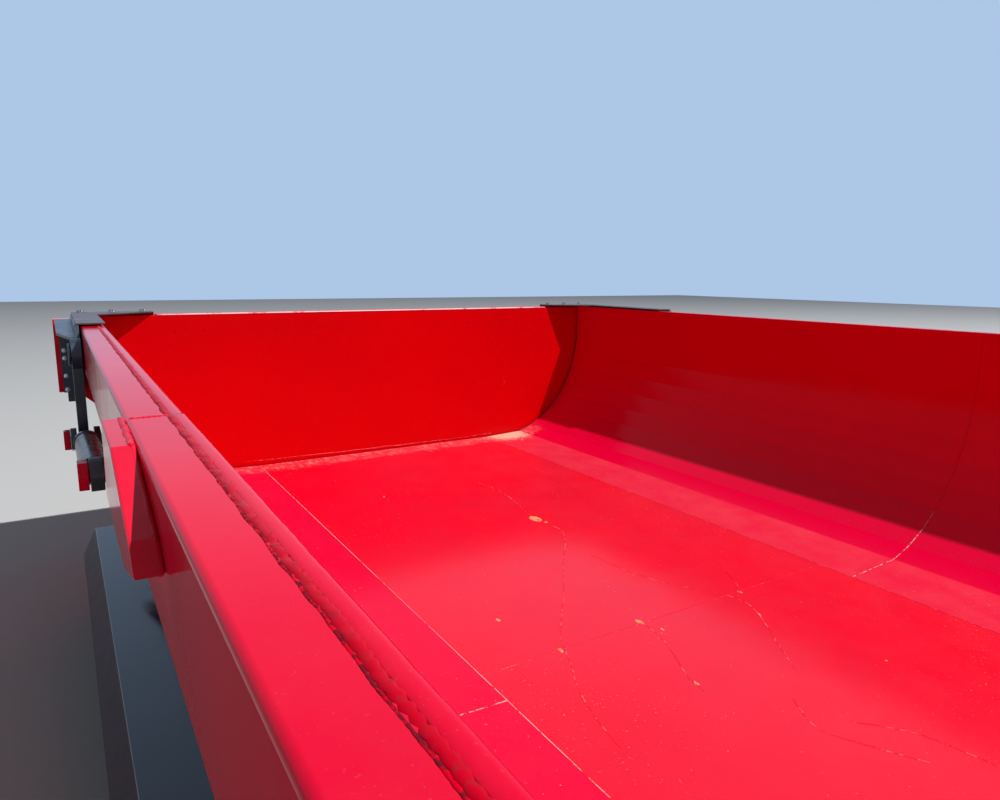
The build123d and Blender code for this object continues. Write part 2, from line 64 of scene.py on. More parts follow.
# Places, read from the frame
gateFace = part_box("gate_sheet")[1].x
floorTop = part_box("floor_plate_rear")[1].z
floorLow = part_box("floor_plate_rear")[0].z
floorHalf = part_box("floor_plate_rear")[1].y
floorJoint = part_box("floor_plate_rear")[1].x
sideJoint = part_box("side_sheet_rear_left")[1].x
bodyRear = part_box("floor_plate_rear")[0].x
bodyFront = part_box("headboard_sheet")[0].x
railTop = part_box("rail_rear_left")[1].z
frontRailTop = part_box("rail_front_left")[1].z
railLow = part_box("rail_rear_left")[0].z
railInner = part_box("rail_rear_left")[0].y
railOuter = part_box("rail_rear_left")[1].y
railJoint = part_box("rail_rear_left")[1].x

# Flats that a side sheet is folded into, from the floor seam up: length, slope
sideFlats = [
    (0.203, 2.5), (0.08, 20), (0.08, 30), (0.08, 40), (0.08, 49), (0.08, 58), (0.08, 67), (0.08, 75), (0.08, 81),
]


# Small helpers

def selectOnly(*pieces):
    bpy.ops.object.select_all(action="DESELECT")
    for piece in pieces:
        piece.select_set(True)
    bpy.context.view_layer.objects.active = pieces[0]


def applyModifiers(piece):
    selectOnly(piece)
    for modifier in list(piece.modifiers):
        bpy.ops.object.modifier_apply(modifier=modifier.name)


def bakePlace(piece):
    selectOnly(piece)
    bpy.ops.object.transform_apply(location=True, rotation=True, scale=True)


def joinAs(name, pieces):
    selectOnly(*pieces)
    if len(pieces) > 1:
        bpy.ops.object.join()
    piece = bpy.context.view_layer.objects.active
    piece.name = name
    piece.data.name = name
    return piece


def copyTo(piece, places):
    # copies with their own meshes, each turned and moved by a matrix
    copies = []
    for place in places:
        twin = piece.copy()
        twin.data = piece.data.copy()
        bpy.context.scene.collection.objects.link(twin)
        twin.matrix_world = place
        bakePlace(twin)
        copies.append(twin)
    bpy.data.objects.remove(piece)
    return copies


def facing(place, run, up):
    # a place whose X axis follows a run and whose Z axis stands on a surface
    along = Vector(run).normalized()
    across = Vector(up).cross(along).normalized()
    turned = Matrix((along, across, along.cross(across))).transposed().to_4x4()
    turned.translation = Vector(place)
    return turned


def dress(piece, body, finish):
    piece.data.materials.clear()
    piece.data.materials.append(finish)
    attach(piece, body)
    return piece


def sideLine():
    # corners (y, z) of the left side's inner face from the floor seam to the rail, and each flat's normal
    y, z = floorHalf, floorTop
    corners = [(y, z)]
    normals = []
    for length, slope in sideFlats:
        turn = math.radians(slope)
        y += length * math.cos(turn)
        z += length * math.sin(turn)
        corners.append((y, z))
        normals.append((-math.sin(turn), math.cos(turn)))
    corners.append((y, railTop))
    normals.append((-1, 0))
    return corners, normals


# Shader writing

class Wire:
    def __init__(self, finish, socket):
        self.finish = finish
        self.socket = socket

    def calc(self, operation, first, second=None):
        sockets = {0: first} if second is None else {0: first, 1: second}
        return self.finish.add("ShaderNodeMath", {"operation": operation}, sockets)

    def __add__(self, other):
        return self.calc("ADD", self, other)

    def __radd__(self, other):
        return self.calc("ADD", other, self)

    def __sub__(self, other):
        return self.calc("SUBTRACT", self, other)

    def __rsub__(self, other):
        return self.calc("SUBTRACT", other, self)

    def __mul__(self, other):
        return self.calc("MULTIPLY", self, other)

    def __rmul__(self, other):
        return self.calc("MULTIPLY", other, self)

    def __abs__(self):
        return self.calc("ABSOLUTE", self)

    def larger(self, other):
        return self.calc("MAXIMUM", self, other)

    def smaller(self, other):
        return self.calc("MINIMUM", self, other)


class Finish:
    def __init__(self, name, **constants):
        self.material = bpy.data.materials.new(name)
        self.material.use_nodes = True
        self.tree = self.material.node_tree
        self.shader = self.tree.nodes["Principled BSDF"]
        for socketName, value in constants.items():
            self.shader.inputs[socketName.replace("_", " ")].default_value = value
        self.place = self.add("ShaderNodeTexCoord", {}, {}, "Object")

    def add(self, kind, settings, sockets, out=0):
        node = self.tree.nodes.new(kind)
        for name, value in settings.items():
            setattr(node, name, value)
        for name, value in sockets.items():
            if isinstance(value, Wire):
                self.tree.links.new(value.socket, node.inputs[name])
            else:
                node.inputs[name].default_value = value
        return Wire(self, node.outputs[out])

    def noise(self, scale, detail=3.0, roughness=0.5, stretch=None):
        where = self.place
        if stretch is not None:
            where = self.add("ShaderNodeMapping", {}, {"Vector": self.place, "Scale": stretch})
        sockets = {"Vector": where, "Scale": scale, "Detail": detail, "Roughness": roughness}
        return self.add("ShaderNodeTexNoise", {}, sockets)

    def spread(self, value, low, high, start=0.0, end=1.0):
        sockets = {"Value": value, "From Min": low, "From Max": high, "To Min": start, "To Max": end}
        return self.add("ShaderNodeMapRange", {"clamp": True}, sockets)

    def blend(self, factor, first, second):
        sockets = {0: factor, 6: first, 7: second}
        return self.add("ShaderNodeMix", {"data_type": "RGBA"}, sockets, 2)

    def axis(self, name):
        return self.add("ShaderNodeSeparateXYZ", {}, {"Vector": self.place}, name)

    def distanceTo(self, spot):
        return self.add("ShaderNodeVectorMath", {"operation": "DISTANCE"}, {0: self.place, 1: spot}, "Value")

    def bump(self, height, distance, strength):
        sockets = {"Height": height, "Distance": distance, "Strength": strength}
        return self.add("ShaderNodeBump", {}, sockets)

    def wire(self, **links):
        for socketName, value in links.items():
            self.tree.links.new(value.socket, self.shader.inputs[socketName.replace("_", " ")])
        return self.material


# Finishes

paintLook = {
    "level": 0.075, "peel": 240, "dust": 0.12, "dustColour": (0.78, 0.34, 0.28, 1), "rough": (0.09, 0.14),
    "deep": 0.86, "wave": 1.2,
}


def redPaint(name, base):
    # sprayed gloss red on rolled sheet: orange peel, a slight wave, thin dust
    paint = Finish(name, Specular_IOR_Level=paintLook["level"])
    deep = tuple(channel * paintLook["deep"] for channel in base[:3]) + (1,)
    colour = paint.blend(paint.spread(paint.noise(1.7, 4), 0.35, 0.65), deep, base)
    haze = paint.spread(paint.noise(5.5, 6, 0.65), 0.52, 0.72) * 0.25
    speck = paint.spread(paint.noise(420, 1), 0.70, 0.76) * 0.5
    colour = paint.blend((haze + speck) * paintLook["dust"], colour, paintLook["dustColour"])
    worn = paint.spread(paint.noise(14, 5, 0.6), 0.3, 0.7, *paintLook["rough"])
    height = paint.noise(paintLook["peel"], 2) * 0.15 + paint.noise(2.2, 1) * paintLook["wave"]
    return paint.wire(Base_Color=colour, Roughness=worn, Normal=paint.bump(height, 0.0004, 0.5))


floorLook = {
    "red": (0.9, 0.0, 0.022, 1), "dull": (0.8, 0.004, 0.03, 1), "dust": (0.9, 0.26, 0.25, 1),
    "earth": (0.8, 0.5, 0.36, 1), "cornerSpot": (gateFace + 0.03, 0.68, floorTop), "cornerReach": 0.18,
    "footWidth": 0.15, "footFade": 0.05, "footHeights": (floorTop + 0.015, floorTop + 0.05),
    "veilFrom": -0.5, "veilTo": 0.4, "paintedSkyHeights": (floorTop + 0.12, floorTop + 0.42),
}


def insidePaint(name, red, dull, scuffs, level, film, filmTop, paintedSkyTint=None):
    # paint inside the body: fine scratches and specks from loads, dust by the tailgate and earth in one corner,
    # a bluer red on the low flats where one is given, a painted reflection of the sky
    paint = Finish(name, Specular_IOR_Level=level)
    colour = paint.blend(paint.spread(paint.noise(2.1, 5, 0.6), 0.35, 0.65), dull, red)
    if paintedSkyTint is not None:
        colour = paint.blend(paint.spread(paint.axis("Z"), *floorLook["paintedSkyHeights"]), paintedSkyTint, colour)
    fine = paint.noise(34, 6, 0.75)
    speck = paint.spread(paint.noise(150, 2, 0.6), 0.67, 0.72) * paint.spread(paint.noise(3.0, 3), 0.45, 0.62)
    scratch = paint.spread(paint.noise(9.0, 5, 0.8, stretch=(0.35, 7, 7)), 0.715, 0.74)
    scratch = scratch * paint.spread(paint.noise(1.9, 2), 0.5, 0.64)
    wear = (speck * 0.5 + scratch * 0.3) * scuffs
    fromGate = paint.axis("X") - gateFace + paint.noise(14, 4, 0.7) * 0.12
    foot = paint.spread(fromGate, floorLook["footWidth"], floorLook["footWidth"] + floorLook["footFade"], 1.0, 0.0)
    foot = foot * paint.spread(paint.axis("Z"), *floorLook["footHeights"], 1.0, 0.0)
    grains = paint.spread(paint.noise(42, 6, 0.85, stretch=(0.5, 1, 1)), 0.5, 0.58)
    low = paint.spread(paint.axis("Z"), filmTop, filmTop + 0.001, 1.0, 0.0)
    veil = low * paint.spread(paint.noise(7, 5, 0.7), 0.35, 0.65, 0.6 * film, 1.4 * film)
    veil = veil * paint.spread(paint.axis("Y"), floorLook["veilFrom"], floorLook["veilTo"], 0.15, 1.0)
    colour = paint.blend((wear + veil + foot * (0.08 + grains * 0.6)).smaller(1.0), colour, floorLook["dust"])
    near = paint.spread(paint.distanceTo(floorLook["cornerSpot"]), 0.0, floorLook["cornerReach"], 1.0, 0.0)
    earth = low * paint.spread(near + paint.noise(90, 6, 0.85) * 2.4, 1.56, 1.64)
    colour = paint.blend(earth * 0.85, colour, floorLook["earth"])
    rough = paint.spread(fine, 0.3, 0.7, 0.12, 0.21) + wear * 0.3 + foot * 0.25 + earth * 0.4
    height = paint.noise(paintLook["peel"], 2) * 0.2 + paint.noise(2.4, 1) * 9.0 + earth * 3.0
    return paint.wire(Base_Color=colour, Roughness=rough.smaller(1.0), Normal=paint.bump(height, 0.0004, 0.5))


# Small holes along the tailgate's top: their dark colour is painted shade inside each hole
gateHoleShade = {
    "across": [-0.86, -0.75, -0.47, -0.28, 0.28, 0.47, 0.75, 0.86], "below": 0.07, "radius": 0.006,
    "colour": (0.16, 0.0, 0.01, 1), "share": 0.55,
}


def gatePaint(name, red, dull):
    # plain red with small holes along the top, each a slight dent painted dark: painted shade inside the hole
    paint = Finish(name, Specular_IOR_Level=0.1)
    colour = paint.blend(paint.spread(paint.noise(1.4, 4), 0.35, 0.65), dull, red)
    holeShadeAndDent = None
    for across in gateHoleShade["across"]:
        spot = (gateFace, across, railTop - gateHoleShade["below"])
        one = paint.spread(paint.distanceTo(spot), 0.0, gateHoleShade["radius"], 1.0, 0.0)
        holeShadeAndDent = one if holeShadeAndDent is None else holeShadeAndDent.larger(one)
    colour = paint.blend(holeShadeAndDent * gateHoleShade["share"], colour, gateHoleShade["colour"])
    speck = paint.spread(paint.noise(190, 2, 0.6), 0.71, 0.75) * 0.35
    colour = paint.blend(speck, colour, floorLook["dust"])
    rough = paint.spread(paint.noise(14, 5, 0.6), 0.3, 0.7, 0.2, 0.3)
    height = paint.noise(paintLook["peel"], 2) * 0.2 + paint.noise(2.2, 1) * 8.0 - holeShadeAndDent * 2.0
    return paint.wire(Base_Color=colour, Roughness=rough, Normal=paint.bump(height, 0.0004, 0.5))


def weldDustAndPaintedLight(name, red, dust, share, scale=60, level=0.25, rough=0.4, dustTop=None):
    # painted bead with a second colour in broken lengths, below a height where one is given: dust on most welds,
    # painted shadow on the rail's ripple bead and its toe strip, a painted highlight on the tailgate's top edge
    paint = Finish(name, Specular_IOR_Level=level)
    broken = paint.spread(paint.noise(scale, 4, 0.7), 0.62 - 0.3 * share, 0.7 - 0.3 * share)
    patch = paint.spread(paint.noise(3.1, 3), 0.3, 0.5, 0.35, 1.0)
    dustAndLightShare = broken * patch * min(1.0, share * 1.6)
    if dustTop is not None:
        dustAndLightShare = dustAndLightShare * paint.spread(paint.axis("Z"), dustTop - 0.1, dustTop, 1.0, 0.0)
    colour = paint.blend(dustAndLightShare, red, dust)
    grain = paint.bump(paint.noise(300, 3), 0.0002, 0.4)
    return paint.wire(Base_Color=colour, Roughness=rough + dustAndLightShare * 0.3, Normal=grain)


blackLook = {"dustColour": (0.35, 0.33, 0.3, 1), "depth": 0.0003}


def blackPaint(name, base, shine, level=0.5, dust=0.12, fall=0.0):
    # fall: the plate's face leans outwards, so that it mirrors the sky beside the body
    paint = Finish(name, Specular_IOR_Level=level)
    lifted = tuple(channel * 1.6 + 0.004 for channel in base[:3]) + (1,)
    colour = paint.blend(paint.spread(paint.noise(2.3, 4), 0.35, 0.65), base, lifted)
    haze = paint.spread(paint.noise(6, 6, 0.7), 0.5, 0.75) * dust
    streak = paint.spread(paint.noise(11, 5, 0.7, stretch=(4, 4, 0.5)), 0.55, 0.7) * dust
    colour = paint.blend(haze + streak, colour, blackLook["dustColour"])
    rough = paint.spread(paint.noise(18, 5, 0.6), 0.3, 0.7, shine, shine + 0.12)
    height = paint.noise(230, 2) * 0.3 + paint.noise(4, 2) * 1.5
    if fall:
        height = height - abs(paint.axis("Y")) * (fall / blackLook["depth"])
    return paint.wire(Base_Color=colour, Roughness=rough, Normal=paint.bump(height, blackLook["depth"], 0.5))


def platedSteel(name, base):
    plate = Finish(name, Metallic=0.85)
    dull = tuple(channel * 0.72 for channel in base[:3]) + (1,)
    colour = plate.blend(plate.spread(plate.noise(55, 3, 0.6), 0.3, 0.7), dull, base)
    rough = plate.spread(plate.noise(24, 5, 0.6), 0.3, 0.7, 0.34, 0.52)
    height = plate.noise(300, 3) * 0.4 + plate.noise(18, 2)
    return plate.wire(Base_Color=colour, Roughness=rough, Normal=plate.bump(height, 0.0002, 0.4))


def hardChrome(name, forkEnd):
    # ground chrome rod, its fork painted black up to the rod
    chrome = Finish(name)
    ring = chrome.noise(60, 2, stretch=(14, 1, 1))
    bright = chrome.blend(chrome.spread(ring, 0.4, 0.6), (0.62, 0.63, 0.65, 1), (0.78, 0.79, 0.8, 1))
    bare = chrome.spread(chrome.axis("X"), forkEnd, forkEnd + 0.001)
    black = chrome.blend(chrome.noise(9, 4), (0.008, 0.01, 0.014, 1), (0.02, 0.024, 0.03, 1))
    colour = chrome.blend(bare, black, bright)
    rough = chrome.spread(chrome.noise(40, 4), 0.3, 0.7, 0.07, 0.16) + (1 - bare) * 0.14
    height = ring * bare + chrome.noise(230, 2) * (1 - bare)
    return chrome.wire(Base_Color=colour, Metallic=bare, Roughness=rough, Normal=chrome.bump(height, 0.00005, 0.3))


def sealRubber(name):
    rubber = Finish(name)
    grain = rubber.noise(420, 3)
    dusty = rubber.spread(rubber.noise(12, 5, 0.7), 0.4, 0.7)
    colour = rubber.blend(dusty, (0.012, 0.012, 0.013, 1), (0.06, 0.055, 0.05, 1))
    rough = rubber.spread(grain, 0.3, 0.7, 0.55, 0.75)
    return rubber.wire(Base_Color=colour, Roughness=rough, Normal=rubber.bump(grain, 0.0003, 0.5))


def driedMark(name, tint, share, scale=23):
    # dried run-off: a film that comes and goes over the red
    mark = Finish(name, Specular_IOR_Level=0.22)
    broken = mark.spread(mark.noise(scale, 5, 0.7), 0.62 - 0.25 * share, 0.7 - 0.25 * share)
    colour = mark.blend(broken * share, floorLook["red"], tint)
    rough = 0.17 + broken * 0.45
    return mark.wire(Base_Color=colour, Roughness=rough, Normal=mark.bump(mark.noise(350, 4, 0.7), 0.0003, 0.6))


bodyRed = redPaint("bodyRed", (0.84, 0.001, 0.034, 1))
# The walls' red is set darker than the floor's as painted shade of the walls; paintedSkyTint, a bluer red on their
# low flats, is a painted reflection of the sky
sheetRed = insidePaint("sheetRed", (0.78, 0.0, 0.022, 1), (0.72, 0.0, 0.022, 1), 0.35, 0.06, 0.1, floorTop + 0.0085,
                       paintedSkyTint=(0.79, 0.0, 0.041, 1))
floorRed = insidePaint("floorRed", floorLook["red"], floorLook["dull"], 1.0, 0.22, 0.035, floorTop + 0.01)
gateRed = gatePaint("gateRed", (0.66, 0.0, 0.002, 1), (0.6, 0.0, 0.003, 1))
# red darker than the paint, partly the weld's own colour and partly painted shade of the groove beside the rail; its
# dark broken lengths are painted shadow
weldRed = weldDustAndPaintedLight("weldRed", (0.6, 0.0, 0.016, 1), (0.3, 0.02, 0.03, 1), 0.3, 120, 0.05, 0.3)
# red with dark broken lengths: painted shadow along the ripple bead's toe
toeShadowPaint = weldDustAndPaintedLight("toeShadowPaint", (0.7, 0.0, 0.018, 1), (0.16, 0.01, 0.022, 1), 0.6, 150, 0.03, 0.4)
# pale pink with paler broken lengths: a painted highlight along the tailgate's rounded top edge
edgePaintedHighlight = weldDustAndPaintedLight("edgePaintedHighlight", (0.84, 0.1, 0.14, 1), (0.92, 0.5, 0.5, 1), 0.7, 12, 0.5, 0.2)
seamDust = weldDustAndPaintedLight("seamDust", (0.86, 0.0, 0.024, 1), (0.9, 0.36, 0.36, 1), 0.8, 38)
seamFaint = weldDustAndPaintedLight("seamFaint", (0.5, 0.0, 0.014, 1), (0.88, 0.26, 0.26, 1), 0.3, 60)
jointWhite = weldDustAndPaintedLight("jointWhite", (0.62, 0.0, 0.02, 1), (0.95, 0.66, 0.66, 1), 0.42, 70, 0.1,
                       dustTop=floorTop + 0.15)
jointPlain = weldDustAndPaintedLight("jointPlain", (0.78, 0.0, 0.02, 1), (0.9, 0.3, 0.3, 1), 0.2, 40)
# black paint with a blue cast: the blue is a painted reflection of the sky
guardBlack = blackPaint("guardBlack", (0.004, 0.012, 0.03, 1), 0.06, 0.42, 0.03, 0.7)
armNavy = blackPaint("armNavy", (0.014, 0.022, 0.036, 1), 0.28)
plateGrey = blackPaint("plateGrey", (0.064, 0.042, 0.042, 1), 0.32, 0.2, 0.15)
ramGrey = blackPaint("ramGrey", (0.034, 0.04, 0.042, 1), 0.2, 0.3, 0.06)
zinc = platedSteel("zinc", (0.62, 0.64, 0.66, 1))
dullPlate = platedSteel("dullPlate", (0.1, 0.11, 0.12, 1))
forkLength = 0.146
rodChrome = hardChrome("rodChrome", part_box("ram_rod_left")[0].x + forkLength)
rubber = sealRubber("rubber")
runMark = driedMark("runMark", (0.9, 0.36, 0.34, 1), 0.45, 55)
flakeTan = driedMark("flakeTan", (0.9, 0.33, 0.14, 1), 1.0)
footMark = driedMark("footMark", (0.93, 0.66, 0.6, 1), 0.42, 60)

nodeFinish = {
    "floor_plate": floorRed, "side_sheet": sheetRed, "headboard_sheet": sheetRed, "gate_sheet": gateRed,
    "headboard_frame": bodyRed, "rail_rear": bodyRed, "rail_front": bodyRed, "rail_lug": bodyRed,
    "rear_frame": bodyRed, "gate_seal": rubber, "runner": bodyRed, "cross_bearers": bodyRed, "hinge_ears": bodyRed,
    "ram_cradle": bodyRed, "mudguard_stays": guardBlack, "mudguard_left": guardBlack, "mudguard_right": guardBlack,
    "arm_pivot": dullPlate, "ram_bracket": bodyRed, "ram_base_pin": bodyRed, "gate_frame": bodyRed,
    "gate_post": bodyRed, "gate_arm": armNavy, "lever_nut": bodyRed, "cap_plate": plateGrey,
    "ram_barrel": ramGrey, "ram_rod": rodChrome,
}


def finishOf(nodeName):
    return next(finish for start, finish in nodeFinish.items() if nodeName.startswith(start))


for nodeName, node in frame["nodes"].items():
    node.data.materials.clear()
    node.data.materials.append(finishOf(nodeName))
print("finishes on", len(frame["nodes"]), "nodes")


# Softened edges: a copy of a node with its edges rounded stands for it

edgeWidth = {
    "rail_rear": 0.0015, "rail_front": 0.0015, "rail_lug": 0.002, "cap_plate": 0.001, "gate_arm": 0.002,
    "gate_post": 0.002, "lever_nut": 0.002, "ram_base_pin": 0.002, "ram_bracket": 0.002, "mudguard_left": 0.001,
    "mudguard_right": 0.001, "gate_frame": 0.002, "gate_sheet": 0.001, "headboard_frame": 0.0015,
    "headboard_sheet": 0.001, "side_sheet": 0.001, "runner": 0.002, "hinge_ears": 0.002, "ram_cradle": 0.002,
    "mudguard_stays": 0.0015, "ram_barrel": 0.0015, "ram_rod": 0.001, "arm_pivot": 0.002, "rear_frame": 0.001,
}

# Degrees: steeper folds stay crisp, with a smaller limit on the folded sheets
softLook = {"weld": 0.00002, "flat": 1.0, "bevelFrom": 28, "crispFrom": 40}
keptFold = {"side_sheet_rear": 6, "side_sheet_front": 6, "rail_lug": 12, "mudguard": 12}


def softEdges(nodeName, width):
    # merged copy of the node, its sharp edges rounded; large faces stay flat and the bevels take the turn
    source = frame["nodes"][nodeName]
    selectOnly(source)
    bpy.ops.object.duplicate()
    piece = bpy.context.view_layer.objects.active
    piece.name = "soft_" + nodeName
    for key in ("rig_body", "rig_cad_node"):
        if key in piece:
            del piece[key]
    piece.parent = None
    selectOnly(piece)
    bpy.ops.object.mode_set(mode="EDIT")
    bpy.ops.mesh.select_all(action="SELECT")
    bpy.ops.mesh.remove_doubles(threshold=softLook["weld"])
    bpy.ops.mesh.dissolve_limited(angle_limit=math.radians(softLook["flat"]))
    bpy.ops.object.mode_set(mode="OBJECT")
    bevel = piece.modifiers.new("edges", "BEVEL")
    bevel.width = width
    bevel.segments = 2
    bevel.limit_method = "ANGLE"
    bevel.angle_limit = math.radians(softLook["bevelFrom"])
    applyModifiers(piece)
    crispFrom = keptFold.get(nodeName.rsplit("_", 1)[0], softLook["crispFrom"])
    bpy.ops.object.shade_smooth_by_angle(angle=math.radians(crispFrom))
    flats = piece.modifiers.new("flats", "WEIGHTED_NORMAL")
    flats.keep_sharp = True
    applyModifiers(piece)
    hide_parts(nodeName)
    body = source["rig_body"]
    return dress(piece, body, finishOf(nodeName))


for nodeName in sorted(frame["nodes"]):
    for start, width in edgeWidth.items():
        if nodeName.startswith(start):
            softEdges(nodeName, width)
            break
print("edges softened")


# Welds: one ripple, repeated along a run, swollen and shifted by slow noise

beadLook = {"sides": 10, "swellSize": 0.012, "driftSize": 0.04}

swellNoise = bpy.data.textures.new("swellNoise", "CLOUDS")
swellNoise.noise_scale = beadLook["swellSize"]
driftNoise = bpy.data.textures.new("driftNoise", "CLOUDS")
driftNoise.noise_scale = beadLook["driftSize"]


def pushBy(piece, texture, direction, strength):
    push = piece.modifiers.new("push", "DISPLACE")
    push.texture = texture
    push.texture_coords = "LOCAL"
    push.direction = direction
    push.strength = strength
    push.mid_level = 0.5


def weldBead(start, end, up, width, height, pitch=0.006, drift=0.001, swell=0.0008, waist=0.84):
    start, end = Vector(start), Vector(end)
    count = max(2, round((end - start).length / pitch))
    step = (end - start).length / count
    bpy.ops.object.select_all(action="DESELECT")
    bpy.ops.mesh.primitive_cylinder_add(vertices=beadLook["sides"], radius=1, depth=step, end_fill_type="NOTHING",
                                        location=(step / 2, 0, 0), rotation=(0, math.pi / 2, 0))
    bead = bpy.context.view_layer.objects.active
    bakePlace(bead)
    bpy.ops.object.mode_set(mode="EDIT")
    bpy.ops.mesh.select_mode(type="EDGE")
    bpy.ops.mesh.select_all(action="DESELECT")
    bpy.ops.object.mode_set(mode="OBJECT")
    for edge in bead.data.edges:
        ends = [bead.data.vertices[index].co.x for index in edge.vertices]
        edge.select = abs(ends[0] - ends[1]) > step / 2
    bpy.ops.object.mode_set(mode="EDIT")
    bpy.ops.mesh.subdivide(number_cuts=1)
    bpy.ops.mesh.select_mode(type="VERT")
    bpy.ops.mesh.select_all(action="DESELECT")
    bpy.ops.object.mode_set(mode="OBJECT")
    for vertex in bead.data.vertices:
        vertex.select = abs(vertex.co.x - step / 2) > step / 4
    bpy.ops.object.mode_set(mode="EDIT")
    bpy.ops.transform.resize(value=(1, waist, waist), center_override=(step / 2, 0, 0))
    bpy.ops.object.mode_set(mode="OBJECT")
    bead.scale = (1, width / 2, height)
    bakePlace(bead)
    row = bead.modifiers.new("row", "ARRAY")
    row.count = count
    row.use_relative_offset = False
    row.use_constant_offset = True
    row.constant_offset_displace = (step, 0, 0)
    row.use_merge_vertices = True
    row.merge_threshold = step / 20
    applyModifiers(bead)
    bpy.ops.object.mode_set(mode="EDIT")
    bpy.ops.mesh.select_all(action="SELECT")
    bpy.ops.mesh.fill_holes(sides=0)
    bpy.ops.object.mode_set(mode="OBJECT")
    bead.matrix_world = facing(start, end - start, up)
    bakePlace(bead)
    pushBy(bead, swellNoise, "NORMAL", swell * 2)
    pushBy(bead, driftNoise, "Y" if abs((end - start).normalized().x) > 0.7 else "X", drift * 2)
    applyModifiers(bead)
    bpy.ops.object.shade_smooth()
    return bead


def weldPiece(name, beads, body="load_body", finish=None):
    return dress(joinAs(name, beads), body, finish or weldRed)


# Each long weld on a rail: a ripple bead, a smooth bead over the sheet's edge and a thin strip along the ripple's
# toe, painted dark as its shadow
railBeads = {
    "ripple": {"out": 0.0088, "rise": -0.0003, "width": 0.0084, "height": 0.0019, "pitch": 0.0085,
               "drift": 0.0019, "swell": 0.0012, "waist": 0.72},
    "smooth": {"out": 0.001, "rise": 0.0001, "width": 0.0125, "height": 0.0015, "pitch": 0.02,
               "drift": 0.0004, "swell": 0.0002, "waist": 0.97},
    "toe": {"out": 0.0131, "rise": 0.0, "width": 0.0021, "height": 0.0004, "pitch": 0.006,
            "drift": 0.0019, "swell": 0.0004},
}
gateTopBead = {"width": 0.007, "height": 0.0014, "pitch": 0.05, "drift": 0.0002, "swell": 0.0002, "waist": 0.98}
seamBead = {"width": 0.0026, "height": 0.0006, "pitch": 0.009, "drift": 0.0005, "swell": 0.0003}
jointBead = {"width": 0.0034, "height": 0.0008, "pitch": 0.008, "drift": 0.0006, "swell": 0.0004}
cornerBead = {"width": 0.008, "height": 0.003, "pitch": 0.008, "drift": 0.0006, "swell": 0.0006}
underBead = {"width": 0.009, "height": 0.004, "pitch": 0.012, "drift": 0.0006, "swell": 0.0006}


def railWelds(sign, side):
    for part, finish in (("ripple", weldRed), ("smooth", bodyRed), ("toe", toeShadowPaint)):
        look = dict(railBeads[part])
        y = sign * (railInner + look.pop("out"))
        rise = look.pop("rise")
        rear = weldBead((bodyRear, y, railTop + rise), (railJoint, y, railTop + rise), (0, 0, 1), **look)
        front = weldBead((railJoint, y, frontRailTop + rise), (bodyFront, y, frontRailTop + rise), (0, 0, 1), **look)
        weldPiece("rail_" + part + "_weld_" + side, [rear, front], finish=finish)
    y = sign * (railInner + 0.002)
    under = weldBead((bodyRear, y, railLow), (bodyFront, y, railLow), (0, 0, -1), **underBead)
    return weldPiece("rail_under_weld_" + side, [under])


stepBeads = {
    "top": {"width": 0.011, "height": 0.0045, "pitch": 0.006, "drift": 0.0004, "swell": 0.0006},
    "down": {"width": 0.008, "height": 0.0022, "pitch": 0.006, "drift": 0.0005, "swell": 0.0005},
}


def railStepWeld(sign, side):
    # where the rear and front rails meet: across the top and down the outer face
    start, end = (railJoint, sign * (railInner + 0.012), railTop), (railJoint, sign * (railOuter - 0.004), railTop)
    top = weldBead(start, end, (0, 0, 1), **stepBeads["top"])
    start, end = (railJoint, sign * railOuter, railTop - 0.006), (railJoint, sign * railOuter, railLow + 0.006)
    down = weldBead(start, end, (0, sign, 0), **stepBeads["down"])
    return weldPiece("rail_step_weld_" + side, [top, down], finish=bodyRed)


# The lug's weld: rippled along its flat top, thin down its slope and nose; bend and end are ahead of the tailgate
lugBead = {
    "off": 0.0035, "bend": 2.328, "end": 2.482, "slopeDrop": 0.042, "noseDrop": 0.061,
    "ripple": {"width": 0.008, "height": 0.0028, "pitch": 0.0075, "drift": 0.0022, "swell": 0.0014, "waist": 0.7},
    "thin": {"width": 0.0045, "height": 0.0015, "pitch": 0.009, "drift": 0.001, "swell": 0.0006},
}


def lugWeld(sign, side):
    low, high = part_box("rail_lug_" + side)
    y = sign * (railOuter + lugBead["off"])
    start = (low.x + 0.026, y, high.z - 0.001)
    bend = (gateFace + lugBead["bend"], y, high.z - 0.001)
    end = (gateFace + lugBead["end"], y, high.z - lugBead["slopeDrop"])
    tip = (high.x - 0.002, y, high.z - lugBead["noseDrop"])
    flat = weldBead(start, bend, (0, 0, 1), **lugBead["ripple"])
    slope = weldBead(bend, end, (0.26, 0, 0.96), **lugBead["thin"])
    nose = weldBead(end, tip, (0.5, 0, 0.87), **lugBead["thin"])
    return weldPiece("lug_weld_" + side, [flat, slope, nose], finish=bodyRed)


def sideJointWeld(sign, side):
    corners, normals = sideLine()
    beads = []
    for (y, z), (nextY, nextZ), (outY, outZ) in zip(corners, corners[1:], normals):
        start, end = (sideJoint, sign * y, z), (sideJoint, sign * nextY, nextZ)
        beads.append(weldBead(start, end, (0, sign * outY, outZ), **jointBead))
    return weldPiece("side_joint_weld_" + side, beads, finish=jointWhite)


def headboardWeld():
    corners, normals = sideLine()
    beads = [weldBead((bodyFront, -floorHalf, floorTop), (bodyFront, floorHalf, floorTop), (-1, 0, 1), **cornerBead)]
    for sign in (1, -1):
        for (y, z), (nextY, nextZ), (outY, outZ) in zip(corners, corners[1:], normals):
            start, end = (bodyFront, sign * y, z), (bodyFront, sign * nextY, nextZ)
            beads.append(weldBead(start, end, (-1, sign * outY, outZ), **cornerBead))
    return weldPiece("headboard_weld", beads)


